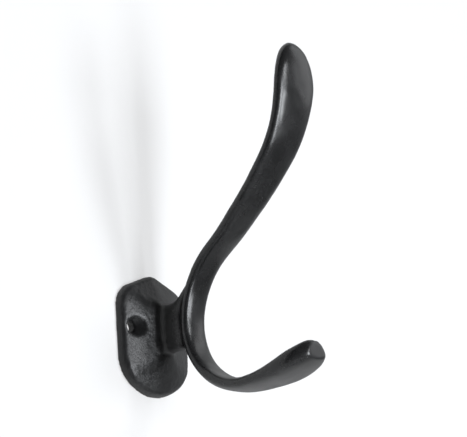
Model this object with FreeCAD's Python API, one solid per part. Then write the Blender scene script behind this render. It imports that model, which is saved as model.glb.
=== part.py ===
import FreeCAD, Part
import math
import os

# Double robe hook, one iron casting, in millimetres.
# The wall is the plane y = 0 and the hook reaches out towards -Y, with +Z up.
# The origin is on the wall, midway between the two screw holes.

# Base plate, seen from the front: six sides, with a gable at the top and at the bottom
PLATE_WIDTH = 36.4
PLATE_TOP = 21.9
PLATE_BOTTOM = 28.5
TOP_GABLE = 7.3
BOTTOM_GABLE = 9.8
TOP_SHOULDER_RADIUS = 10.0
BOTTOM_SHOULDER_RADIUS = 13.5
TOP_APEX_RADIUS = 5.0
BOTTOM_APEX_RADIUS = 20.0
ARCS_PER_SIDE = 0.98

# Base plate, seen from the side: a drafted rim, a round-over and a hipped front
RIM_DEPTH = 3.7
RIM_DRAFT = 0.4
RIM_ROUND = 2.4
HIP_RISE = 4.9

# Neck, an upright web from the plate to the spine, with a fillet at both ends.
# Its top edge turns up through a fillet into a straight brace against the arm's back.
NECK_WIDTH = 7.4
NECK_HEIGHT = 18.6
NECK_DROP = 0.6
NECK_SQUARENESS = 5.0
NECK_ROOT_FILLET = 5.0
NECK_TOP_FILLET = 6.0
NECK_TOP_START = 13.9
NECK_BRACE_ANGLE = 45.0
NECK_BOTTOM_FILLET = 5.0
NECK_INTO_PLATE = 0.4
NECK_INTO_SPINE = 6.5
NECK_SECTIONS = 14

# Two countersunk screw holes, side by side, bored square to the wall
HOLE_TO_SIDE = 4.4
BORE_DIAMETER = 4.4
BORE_LENGTH = 3.2
COUNTERSINK_ANGLE = 82.0
CUT_CLEAR = 1.0

# Side view of the strap: its middle line is five arcs that run into each other.
# From the spine the knee, arm and thumb run up, and the crook and tail run down.
SPINE_STANDOFF = 22.5
SPINE_DROP = 2.5
KNEE_RADIUS = 33.2
KNEE_TURN = 54.2
ARM_RADIUS = 187.0
ARM_TURN = 12.6
THUMB_RADIUS = 52.0
THUMB_TURN = 51.8
CROOK_RADIUS = 25.8
CROOK_TURN = 87.8
TAIL_RADIUS = 60.0
TAIL_TURN = 33.8

# Section of the strap: a squared oval that widens towards both ends
SPINE_WIDTH = 12.0
THUMB_WIDTH = 21.8
PADDLE_WIDTH = 20.4
SPINE_THICKNESS = 4.6
THUMB_THICKNESS = 6.0
CROOK_THICKNESS = 5.4
PADDLE_THICKNESS = 7.7
STRAP_SQUARENESS = 2.6
ARM_WIDENING = 1.6
TAIL_WIDENING_START = 15.5

# Rounded ends: how far back from each tip the outline and the edge start to round,
# and how square the outline is there. The edge of both ends is a plain ellipse.
THUMB_POINT = 17.6
THUMB_POINT_POWER = 1.9
THUMB_EDGE = 6.0
PADDLE_POINT = 10.9
PADDLE_POINT_POWER = 1.75
PADDLE_EDGE = 2.4
EDGE_POWER = 2.0
TIP_FLAT = 0.01

# Small flat ground on the paddle's tip, turned down from square to the strap
TIP_CUT_BACK = 1.1
TIP_CUT_TILT = 30.0

# Spacing of the strap's sections, and their number where an end rounds
SECTION_STEP = 10.0
TIP_SECTIONS = 7

# Distance within which two places count as the same
SAME_PLACE = 0.01


def squared_oval(half_a, half_b, squareness, place):
    """Closed wire of four cubic curves; place turns the oval's two coordinates into a point"""
    # the handles are as long as it takes to put the middle of each quarter on the squared oval
    handle = (8 * 2 ** (-1 / squareness) - 4) / 3
    corners = [(half_a, 0), (0, half_b), (-half_a, 0), (0, -half_b)]
    edges = []
    for number, (a, b) in enumerate(corners):
        next_a, next_b = corners[(number + 1) % len(corners)]
        first_handle = (a + handle * next_a, b + handle * next_b)
        last_handle = (next_a + handle * a, next_b + handle * b)
        poles = [(a, b), first_handle, last_handle, (next_a, next_b)]
        curve = Part.BezierCurve()
        curve.setPoles([place(*pole) for pole in poles])
        edges.append(curve.toShape())
    return Part.Wire(edges)


def rounded_polygon(corners, depth):
    """Closed wire through (x, z, radius) corners at one distance from the wall"""
    count = len(corners)
    points = [FreeCAD.Vector(x, -depth, z) for x, z, radius in corners]
    half_angles = []
    reaches = []
    for number in range(count):
        to_before = points[number - 1] - points[number]
        to_after = points[(number + 1) % count] - points[number]
        half_angle = to_before.getAngle(to_after) / 2
        half_angles.append(half_angle)
        reaches.append(corners[number][2] / math.tan(half_angle))
    # where the two arcs of a side would meet, both are as large as the side leaves room for
    fits = []
    for number in range(count):
        side = points[number].distanceToPoint(points[number - 1])
        fits.append(min(1, side * ARCS_PER_SIDE / (reaches[number] + reaches[number - 1])))
    edges = []
    last = None
    first = None
    for number in range(count):
        corner = points[number]
        to_before = (points[number - 1] - corner).normalize()
        to_after = (points[(number + 1) % count] - corner).normalize()
        half_angle = half_angles[number]
        reach = reaches[number] * min(fits[number], fits[(number + 1) % count])
        radius = reach * math.tan(half_angle)
        inward = (to_before + to_after).normalize()
        arc_start = corner + to_before * reach
        arc_middle = corner + inward * (radius / math.sin(half_angle) - radius)
        arc_end = corner + to_after * reach
        if last is not None:
            edges.append(Part.LineSegment(last, arc_start).toShape())
        else:
            first = arc_start
        edges.append(Part.Arc(arc_start, arc_middle, arc_end).toShape())
        last = arc_end
    edges.append(Part.LineSegment(last, first).toShape())
    return Part.Wire(edges)


def six_sided(size, depth):
    """Outline like the base plate's at a share of its size: upright sides and a gable at each end"""
    half_width, top, bottom = size
    share = half_width / (PLATE_WIDTH / 2)
    top_corner = top - TOP_GABLE * share
    bottom_corner = bottom + BOTTOM_GABLE * share
    corners = [
        (0, top, TOP_APEX_RADIUS * share),
        (half_width, top_corner, TOP_SHOULDER_RADIUS * share),
        (half_width, bottom_corner, BOTTOM_SHOULDER_RADIUS * share),
        (0, bottom, BOTTOM_APEX_RADIUS * share),
        (-half_width, bottom_corner, BOTTOM_SHOULDER_RADIUS * share),
        (-half_width, top_corner, TOP_SHOULDER_RADIUS * share),
    ]
    return rounded_polygon(corners, depth)


def plate_outline(depth, grow):
    """Outline of the base plate at one distance from the wall"""
    return six_sided((PLATE_WIDTH / 2 + grow, PLATE_TOP + grow, -PLATE_BOTTOM - grow), depth)


def hip_outline():
    """Small outline like the plate's that the hipped front rises to, hidden in the neck"""
    size = (NECK_WIDTH / 2, NECK_HEIGHT / 2 - NECK_DROP, -NECK_HEIGHT / 2 - NECK_DROP)
    return six_sided(size, RIM_DEPTH + HIP_RISE)


def base_plate():
    """Drafted rim and hipped front, with the edge between them rounded over"""
    rim = Part.makeLoft([plate_outline(0, RIM_DRAFT), plate_outline(RIM_DEPTH, 0)], True, True)
    front = Part.makeLoft([plate_outline(RIM_DEPTH, 0), hip_outline()], True, True)
    plate = rim.fuse(front).removeSplitter()
    brow = []
    for edge in plate.Edges:
        low, high = edge.BoundBox.YMin, edge.BoundBox.YMax
        if abs(low + RIM_DEPTH) < SAME_PLACE and abs(high + RIM_DEPTH) < SAME_PLACE:
            brow.append(edge)
    return plate.makeFillet(RIM_ROUND, brow)


def fillet_rise(reach, radius, turn):
    """Height of a fillet's arc at a distance past its start; past its turn in degrees it runs on straight"""
    angle = math.radians(turn)
    arc_reach = radius * math.sin(angle)
    curved = min(max(reach, 0), arc_reach)
    straight = max(reach - arc_reach, 0)
    return radius - math.sqrt(radius ** 2 - curved ** 2) + straight * math.tan(angle)


def neck():
    """Upright web with a squared oval section, filleted into the plate and braced against the arm"""
    root_turn = 90 - math.degrees(math.atan(2 * HIP_RISE / (PLATE_WIDTH - NECK_WIDTH)))
    root = RIM_DEPTH + HIP_RISE + NECK_ROOT_FILLET * math.tan(math.radians(root_turn / 2)) - NECK_INTO_PLATE
    start = root - NECK_ROOT_FILLET * math.sin(math.radians(root_turn))
    end = SPINE_STANDOFF + NECK_INTO_SPINE
    bottom_start = SPINE_STANDOFF - (SPINE_THICKNESS + NECK_BOTTOM_FILLET) / 2
    wires = []
    for number in range(NECK_SECTIONS + 1):
        depth = start + (end - start) * number / NECK_SECTIONS
        flare = fillet_rise(root - depth, NECK_ROOT_FILLET, root_turn)
        top_rise = fillet_rise(depth - NECK_TOP_START, NECK_TOP_FILLET, NECK_BRACE_ANGLE)
        bottom_rise = fillet_rise(depth - bottom_start, NECK_BOTTOM_FILLET, NECK_BRACE_ANGLE)
        half_height = NECK_HEIGHT / 2 + flare + (top_rise + bottom_rise) / 2
        middle = (top_rise - bottom_rise) / 2 - NECK_DROP
        wires.append(squared_oval(NECK_WIDTH / 2 + flare, half_height, NECK_SQUARENESS,
                                  lambda a, b, d=depth, m=middle: FreeCAD.Vector(a, -d, m + b)))
    web = Part.makeLoft(wires, True, False)
    # the web stops on the strap's middle line, so that nothing of it shows in front of the strap
    knee_centre = FreeCAD.Vector(-NECK_WIDTH, -SPINE_STANDOFF - KNEE_RADIUS, -SPINE_DROP)
    return web.cut(Part.makeCylinder(KNEE_RADIUS, 2 * NECK_WIDTH, knee_centre, FreeCAD.Vector(1, 0, 0)))


def line_length(arcs):
    """Length of a middle line of (radius, turn) arcs"""
    return sum(radius * math.radians(abs(turn)) for radius, turn in arcs)


def place_on_line(side, arcs, distance):
    """Point and heading at a distance along a middle line, up (side 1) or down (side -1) from the spine"""
    y, z = -SPINE_STANDOFF, -SPINE_DROP
    heading = side * math.pi / 2
    for radius, turn in arcs:
        length = radius * math.radians(abs(turn))
        part = min(distance, length)
        swing = math.copysign(part / radius, turn)
        chord = 2 * radius * math.sin(abs(swing) / 2)
        y += chord * math.cos(heading + swing / 2)
        z += chord * math.sin(heading + swing / 2)
        heading += swing
        distance -= part
        if distance <= 0:
            break
    return FreeCAD.Vector(0, y, z), heading


def ease(share):
    """Smooth step from 0 to 1"""
    share = min(1.0, max(0.0, share))
    return share * share * (3 - 2 * share)


def rounded_end(left, length, power):
    """Share of the full size that is left at a distance from the tip"""
    gone = max(1 - left / length, 0)
    return (1 - gone ** power) ** (1 / power)


def upper_size(distance, length):
    """Width and thickness of the upper arm"""
    left = length - distance
    share = min(1, distance / (length - THUMB_POINT))
    width = SPINE_WIDTH + (THUMB_WIDTH - SPINE_WIDTH) * share ** ARM_WIDENING
    thickness = SPINE_THICKNESS + (THUMB_THICKNESS - SPINE_THICKNESS) * share
    width *= rounded_end(left, THUMB_POINT, THUMB_POINT_POWER)
    thickness *= rounded_end(left, THUMB_EDGE, EDGE_POWER)
    return width, thickness


def lower_size(distance, length):
    """Width and thickness of the lower arm"""
    left = length - distance
    crook = CROOK_RADIUS * math.radians(CROOK_TURN)
    full = length - PADDLE_POINT
    widening = ease((distance - TAIL_WIDENING_START) / (full - TAIL_WIDENING_START))
    width = SPINE_WIDTH + (PADDLE_WIDTH - SPINE_WIDTH) * widening
    thickness = SPINE_THICKNESS + (CROOK_THICKNESS - SPINE_THICKNESS) * ease(distance / crook)
    thickness += (PADDLE_THICKNESS - CROOK_THICKNESS) * ease((distance - crook) / (full - crook))
    width *= rounded_end(left, PADDLE_POINT, PADDLE_POINT_POWER)
    thickness *= rounded_end(left, PADDLE_EDGE, EDGE_POWER)
    return width, thickness


def arm_sections(side, arcs, size, point):
    """Section wires of one arm, up (side 1) or down (side -1) from the spine to its tip"""
    length = line_length(arcs)
    plain = length - point
    count = math.ceil(plain / SECTION_STEP)
    distances = [plain * number / count for number in range(count)]
    last_angle = math.asin(1 - TIP_FLAT)
    for number in range(TIP_SECTIONS + 1):
        distances.append(plain + point * math.sin(last_angle * number / TIP_SECTIONS))
    wires = []
    for distance in distances:
        centre, heading = place_on_line(side, arcs, distance)
        width, thickness = size(distance, length)
        across = FreeCAD.Vector(0, -math.sin(heading), math.cos(heading)) * side
        wires.append(squared_oval(width / 2, thickness / 2, STRAP_SQUARENESS,
                                  lambda a, b, c=centre, n=across: c + FreeCAD.Vector(a, 0, 0) + n * b))
    return wires


def tip_block(arcs):
    """Block past the paddle's tip, turned about the point where the tip's flat is ground"""
    point, heading = place_on_line(-1, arcs, line_length(arcs) - TIP_CUT_BACK)
    corner = FreeCAD.Vector(-PADDLE_WIDTH / 2, 0, -PADDLE_WIDTH / 2)
    block = Part.makeBox(PADDLE_WIDTH, PADDLE_POINT, PADDLE_WIDTH, corner)
    block.rotate(FreeCAD.Vector(), FreeCAD.Vector(1, 0, 0), math.degrees(heading) + TIP_CUT_TILT)
    block.translate(point)
    return block


def strap():
    """Both arms as one smooth body, from the tip of the paddle to the tip of the thumb"""
    upper_arcs = [(KNEE_RADIUS, KNEE_TURN), (ARM_RADIUS, -ARM_TURN), (THUMB_RADIUS, -THUMB_TURN)]
    lower_arcs = [(CROOK_RADIUS, -CROOK_TURN), (TAIL_RADIUS, -TAIL_TURN)]
    upper = arm_sections(1, upper_arcs, upper_size, THUMB_POINT)
    lower = arm_sections(-1, lower_arcs, lower_size, PADDLE_POINT)
    # the spine's own section is in both lists, so it is left out of the lower one
    both = Part.makeLoft(lower[:0:-1] + upper, True, False)
    return both.cut(tip_block(lower_arcs))


def screw_hole(side):
    """Bore and countersink of one screw hole, to be cut from the plate"""
    x = side * (PLATE_WIDTH / 2 - HOLE_TO_SIDE)
    outward = FreeCAD.Vector(0, -1, 0)
    bore_radius = BORE_DIAMETER / 2
    sink_depth = RIM_DEPTH + HIP_RISE
    mouth_radius = bore_radius + sink_depth * math.tan(math.radians(COUNTERSINK_ANGLE / 2))
    bore = Part.makeCylinder(bore_radius, BORE_LENGTH + CUT_CLEAR, FreeCAD.Vector(x, CUT_CLEAR, 0), outward)
    sink = Part.makeCone(bore_radius, mouth_radius, sink_depth, FreeCAD.Vector(x, -BORE_LENGTH, 0), outward)
    return bore.fuse(sink)


os.makedirs("parts", exist_ok=True)
plate = base_plate().cut([screw_hole(-1), screw_hole(1)])
casting = plate.fuse([neck(), strap()]).removeSplitter()
print("one solid:", len(casting.Solids) == 1 and casting.isValid())
casting.Solids[0].exportStep("parts/hook_casting.step")
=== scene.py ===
import math

import bmesh
import bpy
from mathutils import Matrix, Vector, noise


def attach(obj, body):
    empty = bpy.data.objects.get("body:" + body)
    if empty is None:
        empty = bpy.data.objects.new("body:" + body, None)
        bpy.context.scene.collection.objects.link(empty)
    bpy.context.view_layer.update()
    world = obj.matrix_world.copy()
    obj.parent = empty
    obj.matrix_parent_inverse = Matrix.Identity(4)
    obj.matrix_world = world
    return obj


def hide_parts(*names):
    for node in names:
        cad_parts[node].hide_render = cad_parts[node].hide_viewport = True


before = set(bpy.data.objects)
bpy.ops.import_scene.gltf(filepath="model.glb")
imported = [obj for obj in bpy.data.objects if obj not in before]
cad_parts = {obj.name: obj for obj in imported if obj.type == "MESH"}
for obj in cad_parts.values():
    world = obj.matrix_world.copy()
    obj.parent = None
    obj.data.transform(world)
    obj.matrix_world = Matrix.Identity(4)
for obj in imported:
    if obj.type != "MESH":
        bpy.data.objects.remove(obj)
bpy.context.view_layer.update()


# The casting: one piece of iron, poured in a mould, ground at the paddle's tip and finished satin black. Two wood
# screws hold its plate to the wall. It is a merged and softened copy of the solid, so that the plate, neck and
# arms run into each other through soft fillets as cast iron does.
voxel = 0.00046
merge_distance = 0.000002
back_depth = 0.0004
casting_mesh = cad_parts["hook_casting"].data.copy()
casting_mesh.name = "robe_hook"
casting_mesh.materials.clear()
casting_bm = bmesh.new()
casting_bm.from_mesh(casting_mesh)
bmesh.ops.remove_doubles(casting_bm, verts=casting_bm.verts, dist=merge_distance)
casting_bm.to_mesh(casting_mesh)
casting_bm.free()
robe_hook = bpy.data.objects.new("robe_hook", casting_mesh)
bpy.context.scene.collection.objects.link(robe_hook)
remesh = robe_hook.modifiers.new("even_skin", "REMESH")
remesh.mode = "VOXEL"
remesh.voxel_size = voxel
even_mesh = bpy.data.meshes.new_from_object(robe_hook.evaluated_get(bpy.context.evaluated_depsgraph_get()))
robe_hook.modifiers.clear()
robe_hook.data = even_mesh

# the two screw holes, and then the places that are shaped apart, each by its lowest and highest corner in
# millimetres
to_mm = 1000
hole_across = 0.0138
bore_radius = 0.0022
bore_end = -0.0026
hole_clearance = 0.0049
lower_plate = ((-17, -11, -27), (17, -3, -6))
neck_joints = ((-9, -31, -20), (9, -8, 27))
plate_front = ((-20, -10, -40), (20, -2.2, 30))
lower_middle = ((-13, -10, -24), (13, -4, -5))
ground_tip = ((-8, -84, -18), (8, -78.4, 10))


def in_zone(point, zone):
    """True where a point is between a zone's two corners"""
    return all(low <= value * to_mm <= high for low, value, high in zip(zone[0], point, zone[1]))


def clear_of_holes(point):
    """True where a point is outside both countersinks"""
    return math.hypot(abs(point.x) - hole_across, point.z) > hole_clearance


def stand_out_of(v):
    """How far a point stands out from the middle of its neighbours, in voxels, below zero in a hollow"""
    others = [e.other_vert(v).co for e in v.link_edges]
    middle = sum(others, Vector()) / max(len(others), 1)
    return (v.co - middle).dot(v.normal) / voxel


def soften(verts, passes, keep_flat):
    """Move points of the casting toward their neighbours; points of the flat back are kept in its plane"""
    for n in range(passes):
        bmesh.ops.smooth_vert(casting_bm, verts=verts, factor=0.5,
                              use_axis_x=True, use_axis_y=not keep_flat, use_axis_z=True)


casting_bm = bmesh.new()
casting_bm.from_mesh(even_mesh)
front_verts = [v for v in casting_bm.verts if v.co.y < -back_depth]

# Below its middle the plate's side faces run further down than the solid's, to a steeper lower gable. The
# plate's own measures come first, in millimetres, and then how steeply it is lifted and where that fades out.
plate_foot = 28.5
gable_slope = 0.538
side_edge = 18.2
side_edge_height = 3.7
side_slope = 0.338
lift_slope = 0.085
lift_end = 11
lift_fade = 3.5
for v in front_verts:
    if in_zone(v.co, lower_plate) and clear_of_holes(v.co):
        across, low, height = abs(v.co.x) * to_mm, v.co.z * to_mm, -v.co.y * to_mm
        from_edge = max(low + plate_foot - across * gable_slope, 0)
        fade = min(max((lift_end - height) / lift_fade, 0), 1)
        side_face = side_edge_height + (side_edge - across) * side_slope
        v.co.y = -max(height, min(side_face, height + lift_slope * from_edge * fade)) / to_mm

# the hollows where plate, neck and spine meet get the most softening, and the rest only loses its steps
hollow_depth = 0.05
joints = [v for v in front_verts if in_zone(v.co, neck_joints)]
hollows = {v for v in joints if stand_out_of(v) < -hollow_depth}
for ring in range(2):
    hollows |= {e.other_vert(v) for v in hollows for e in v.link_edges}
wide_hollows = hollows | {e.other_vert(v) for v in hollows for e in v.link_edges}
plate_face = [v for v in front_verts if in_zone(v.co, plate_front) and clear_of_holes(v.co)]
lower_face = [v for v in plate_face if in_zone(v.co, lower_middle)]
hollows = [v for v in hollows if clear_of_holes(v.co)]
wide_hollows = [v for v in wide_hollows if clear_of_holes(v.co)]
soften(hollows, 16, False)
soften(wide_hollows, 6, False)
soften(lower_face, 40, False)
soften(plate_face, 5, False)
soften(front_verts, 6, False)
back_verts = [v for v in casting_bm.verts if v.co.y >= -back_depth and clear_of_holes(v.co)]
soften(back_verts, 6, True)
casting_bm.normal_update()

# the cast skin swells unevenly, most of all on the paddle's ground tip, and is roughest on the plate
broad_scale, broad_depth = 90, 0.00011
fine_scale, fine_depth, fine_shift = 260, 0.00005, Vector((3, 1, 7))
tip_scale, tip_depth = 540, 0.00032
plate_scale, plate_depth, plate_reach = 700, 0.00006, 0.012
skin_inset = 0.00005
for v in front_verts:
    broad = noise.noise(v.co * broad_scale)
    fine = noise.noise(v.co * fine_scale + fine_shift)
    swell = broad * broad_depth + fine * fine_depth
    if in_zone(v.co, ground_tip):
        swell += noise.noise(v.co * tip_scale) * tip_depth
    if v.co.y > -plate_reach:
        swell += noise.noise(v.co * plate_scale) * plate_depth
    v.co += v.normal * (swell - skin_inset)

# the back is flat, and the two holes are drilled, so their walls are true circles
bore_wall_band = 0.0004
for v in casting_bm.verts:
    v.co.y = min(v.co.y, 0)
    hole_middle = Vector((math.copysign(hole_across, v.co.x), v.co.y, 0))
    from_hole = v.co - hole_middle
    if v.co.y > bore_end and abs(from_hole.length - bore_radius) < bore_wall_band:
        v.co = hole_middle + from_hole.normalized() * bore_radius
casting_bm.normal_update()

# how sharply each point stands out from its neighbours, spread a little, for the edges whose colour is lightened,
# partly as rubbed wear and partly as a painted highlight along the ridges
edge_gain = 9
stand_out = {v.index: stand_out_of(v) for v in casting_bm.verts}
for ring in range(3):
    spread = {}
    for v in casting_bm.verts:
        others = [stand_out[e.other_vert(v).index] for e in v.link_edges]
        spread[v.index] = (stand_out[v.index] + sum(others)) / (1 + len(others))
    stand_out = spread
casting_bm.to_mesh(even_mesh)
casting_bm.free()
# this mask lightens the colour of the convex edges, partly as rubbed wear and partly as a painted highlight on
# the ridges
edge = even_mesh.attributes.new("worn_and_highlit_edge", "FLOAT", "POINT")
for number, value in stand_out.items():
    edge.data[number].value = min(max(value * edge_gain, 0), 1)
for face in even_mesh.polygons:
    face.use_smooth = True


def ranged(tree, value, span, result):
    """A node's output taken from one range to another"""
    node = tree.nodes.new("ShaderNodeMapRange")
    node.inputs["From Min"].default_value, node.inputs["From Max"].default_value = span
    node.inputs["To Min"].default_value, node.inputs["To Max"].default_value = result
    tree.links.new(value, node.inputs["Value"])
    return node.outputs["Result"]


def worked_out(tree, operation, *values):
    """The result of a sum in a material, where each value is a decimal number or a node's output"""
    node = tree.nodes.new("ShaderNodeMath")
    node.operation = operation
    for socket, value in zip(node.inputs, values):
        if isinstance(value, float):
            socket.default_value = value
        else:
            tree.links.new(value, socket)
    return node.outputs["Value"]


def mottle(tree, scale, detail, place):
    """Noise in the casting's own coordinates"""
    node = tree.nodes.new("ShaderNodeTexNoise")
    node.inputs["Scale"].default_value = scale
    node.inputs["Detail"].default_value = detail
    tree.links.new(place, node.inputs["Vector"])
    return node.outputs["Fac"]


black_iron = bpy.data.materials.new("satin_black_iron")
black_iron.use_nodes = True
iron = black_iron.node_tree
nodes, links = iron.nodes, iron.links
shader = nodes["Principled BSDF"]
shader.inputs["Metallic"].default_value = 0.0
shader.inputs["Specular IOR Level"].default_value = 0.38
place = nodes.new("ShaderNodeTexCoord").outputs["Object"]

# the finish is thicker in some places than others, so its tone drifts, and it is lighter along the edges: partly
# rubbed thin there, and partly a painted highlight along the ridges
tone = mottle(iron, 130, 5, place)
tone_ramp = nodes.new("ShaderNodeValToRGB")
thick_finish, thin_finish = tone_ramp.color_ramp.elements
thick_finish.position = 0.32
thick_finish.color = (0.0065, 0.0065, 0.0067, 1)
thin_finish.position = 0.72
thin_finish.color = (0.0100, 0.0100, 0.0103, 1)
links.new(tone, tone_ramp.inputs["Fac"])
worn_and_highlit_edge = nodes.new("ShaderNodeAttribute")
worn_and_highlit_edge.attribute_name = "worn_and_highlit_edge"
# the paler edge colour is partly rubbed wear and partly a painted highlight along the ridges
edge_wear_and_highlight = nodes.new("ShaderNodeMix")
edge_wear_and_highlight.data_type = "RGBA"
edge_wear_and_highlight.inputs["B"].default_value = (0.030, 0.030, 0.031, 1)
links.new(worked_out(iron, "MULTIPLY", worn_and_highlit_edge.outputs["Fac"], tone), edge_wear_and_highlight.inputs["Factor"])
links.new(tone_ramp.outputs["Color"], edge_wear_and_highlight.inputs["A"])
links.new(edge_wear_and_highlight.outputs["Result"], shader.inputs["Base Color"])

# the plate keeps its rough cast skin, the arms are smoother from use, and all of it is duller at a glance
depth = nodes.new("ShaderNodeSeparateXYZ")
links.new(place, depth.inputs["Vector"])
cast_skin = ranged(iron, depth.outputs["Y"], (-0.018, -0.009), (0.0, 1.0))
used_gloss = ranged(iron, tone, (0.3, 0.7), (0.22, 0.31))
gloss = worked_out(iron, "MULTIPLY_ADD", cast_skin, 0.13, used_gloss)
glance = nodes.new("ShaderNodeLayerWeight")
glance.inputs["Blend"].default_value = 0.5
glance_gloss = ranged(iron, glance.outputs["Facing"], (0.35, 0.95), (0.0, 0.25))
links.new(worked_out(iron, "ADD", gloss, glance_gloss), shader.inputs["Roughness"])
bump = nodes.new("ShaderNodeBump")
bump.inputs["Distance"].default_value = 0.00012
links.new(ranged(iron, cast_skin, (0.0, 1.0), (0.07, 0.75)), bump.inputs["Strength"])
links.new(mottle(iron, 1300, 3, place), bump.inputs["Height"])
links.new(bump.outputs["Normal"], shader.inputs["Normal"])
even_mesh.materials.clear()
even_mesh.materials.append(black_iron)
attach(robe_hook, "root")
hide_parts("hook_casting")


# The painted wall behind the hook, and a plain floor well below it. Both belong to the studio, not to the hook.
# The wall shows from its front alone, so that it doesn't hide the hook's back in the other views.
wall_gap = 0.0002
wall_paint = (0.58, 0.58, 0.58, 1)
floor_paint = (0.7, 0.7, 0.69, 1)


def studio_sheet(name, half_size, turn, place):
    """A flat square, turned about X in degrees and set at a place"""
    sheet_bm = bmesh.new()
    bmesh.ops.create_grid(sheet_bm, x_segments=1, y_segments=1, size=half_size)
    bmesh.ops.rotate(sheet_bm, verts=sheet_bm.verts, matrix=Matrix.Rotation(math.radians(turn), 3, "X"))
    bmesh.ops.translate(sheet_bm, verts=sheet_bm.verts, vec=place)
    sheet_mesh = bpy.data.meshes.new(name)
    sheet_bm.to_mesh(sheet_mesh)
    sheet_bm.free()
    sheet = bpy.data.objects.new(name, sheet_mesh)
    bpy.context.scene.collection.objects.link(sheet)
    return sheet_mesh


wall_mesh = studio_sheet("wall", 1.6, 90, (0, wall_gap, 0.4))
floor_mesh = studio_sheet("floor", 2.4, 0, (0, 0, -1.2))

# half of what the camera and reflections see of the wall is plain white, and the rest is lit paint with shadows
white_wall = bpy.data.materials.new("white_wall")
white_wall.use_nodes = True
wall_tree = white_wall.node_tree
nodes, links = wall_tree.nodes, wall_tree.links
nodes.clear()
paint = nodes.new("ShaderNodeBsdfDiffuse")
paint.inputs["Color"].default_value = wall_paint
glow = nodes.new("ShaderNodeEmission")
glow.inputs["Color"].default_value = (1, 1, 1, 1)
glow.inputs["Strength"].default_value = 1.0
ray = nodes.new("ShaderNodeLightPath")
seen = worked_out(wall_tree, "MAXIMUM", ray.outputs["Is Camera Ray"], ray.outputs["Is Glossy Ray"])
seen_at_all = worked_out(wall_tree, "MAXIMUM", seen, ray.outputs["Is Transmission Ray"])
lit = nodes.new("ShaderNodeMixShader")
links.new(worked_out(wall_tree, "MULTIPLY", seen_at_all, 0.5), lit.inputs["Fac"])
links.new(paint.outputs["BSDF"], lit.inputs[1])
links.new(glow.outputs["Emission"], lit.inputs[2])
clear = nodes.new("ShaderNodeBsdfTransparent")
facing = nodes.new("ShaderNodeNewGeometry")
one_sided = nodes.new("ShaderNodeMixShader")
links.new(facing.outputs["Backfacing"], one_sided.inputs["Fac"])
links.new(lit.outputs["Shader"], one_sided.inputs[1])
links.new(clear.outputs["BSDF"], one_sided.inputs[2])
surface = nodes.new("ShaderNodeOutputMaterial")
links.new(one_sided.outputs["Shader"], surface.inputs["Surface"])
wall_mesh.materials.append(white_wall)

pale_floor = bpy.data.materials.new("pale_floor")
pale_floor.use_nodes = True
floor_shader = pale_floor.node_tree.nodes["Principled BSDF"]
floor_shader.inputs["Base Color"].default_value = floor_paint
floor_shader.inputs["Roughness"].default_value = 0.9
floor_mesh.materials.append(pale_floor)


# The studio light: a tall window in front and below, two small ones beside it, low and high, and a faint one
# far to the right. All stand 1.3 m from the hook, in a room that is dimmer on the left.
window_distance = 1.3
hook_middle = Vector((0, -0.03, 0.03))
studio = bpy.data.worlds.new("studio")
bpy.context.scene.world = studio
studio.use_nodes = True
room = studio.node_tree
sky = room.nodes["Background"]
sky.inputs["Color"].default_value = (0.96, 0.98, 1.0, 1)
direction = room.nodes.new("ShaderNodeTexCoord")
sides = room.nodes.new("ShaderNodeSeparateXYZ")
room.links.new(direction.outputs["Generated"], sides.inputs["Vector"])
room.links.new(ranged(room, sides.outputs["X"], (-0.6, 0.8), (0.07, 0.28)), sky.inputs["Strength"])

# name, degrees to the right, degrees up, width, height, power, colour
windows = [
    ("front_window", -2, -14, 0.27, 0.95, 18, (0.93, 0.96, 1.0)),
    ("low_window", 17, -10, 0.30, 0.50, 9, (0.93, 0.96, 1.0)),
    ("high_window", 14, 16, 0.28, 0.32, 4.5, (0.95, 0.97, 1.0)),
    ("right_window", 60, 27, 0.5, 1.1, 3.0, (0.97, 0.98, 1.0)),
]
for name, to_right, upward, width, height, power, colour in windows:
    lamp = bpy.data.lights.new(name, "AREA")
    lamp.shape = "RECTANGLE"
    lamp.size = width
    lamp.size_y = height
    lamp.energy = power
    lamp.color = colour
    window = bpy.data.objects.new(name, lamp)
    bpy.context.scene.collection.objects.link(window)
    side, rise = math.radians(to_right), math.radians(upward)
    away = Vector((math.sin(side) * math.cos(rise), -math.cos(side) * math.cos(rise), math.sin(rise)))
    turned = away.to_track_quat("Z", "Y").to_matrix().to_4x4()
    window.matrix_world = Matrix.Translation(hook_middle + away * window_distance) @ turned


# The camera looks up at the hook from low on its left, turned a little on its own axis
camera_distance = 0.65
target = Vector((0, -0.035, 0.0324))
azimuth, elevation, roll = math.radians(-50), math.radians(-15), math.radians(3.8)
level = math.cos(elevation)
back = Vector((math.sin(azimuth) * level, -math.cos(azimuth) * level, math.sin(elevation)))
level_right = Vector((math.cos(azimuth), math.sin(azimuth), 0))
level_up = back.cross(level_right)
right = level_right * math.cos(roll) - level_up * math.sin(roll)
up = level_right * math.sin(roll) + level_up * math.cos(roll)
lens = bpy.data.cameras.new("camera")
lens.sensor_width = 36
lens.lens = 131.8
lens.shift_x = 0.046
lens.shift_y = 0.0291
camera = bpy.data.objects.new("camera", lens)
turned = Matrix((right, up, back)).transposed().to_4x4()
camera.matrix_world = Matrix.Translation(target + back * camera_distance) @ turned
bpy.context.scene.collection.objects.link(camera)
bpy.context.scene.camera = camera
bpy.context.scene.view_settings.view_transform = "Standard"
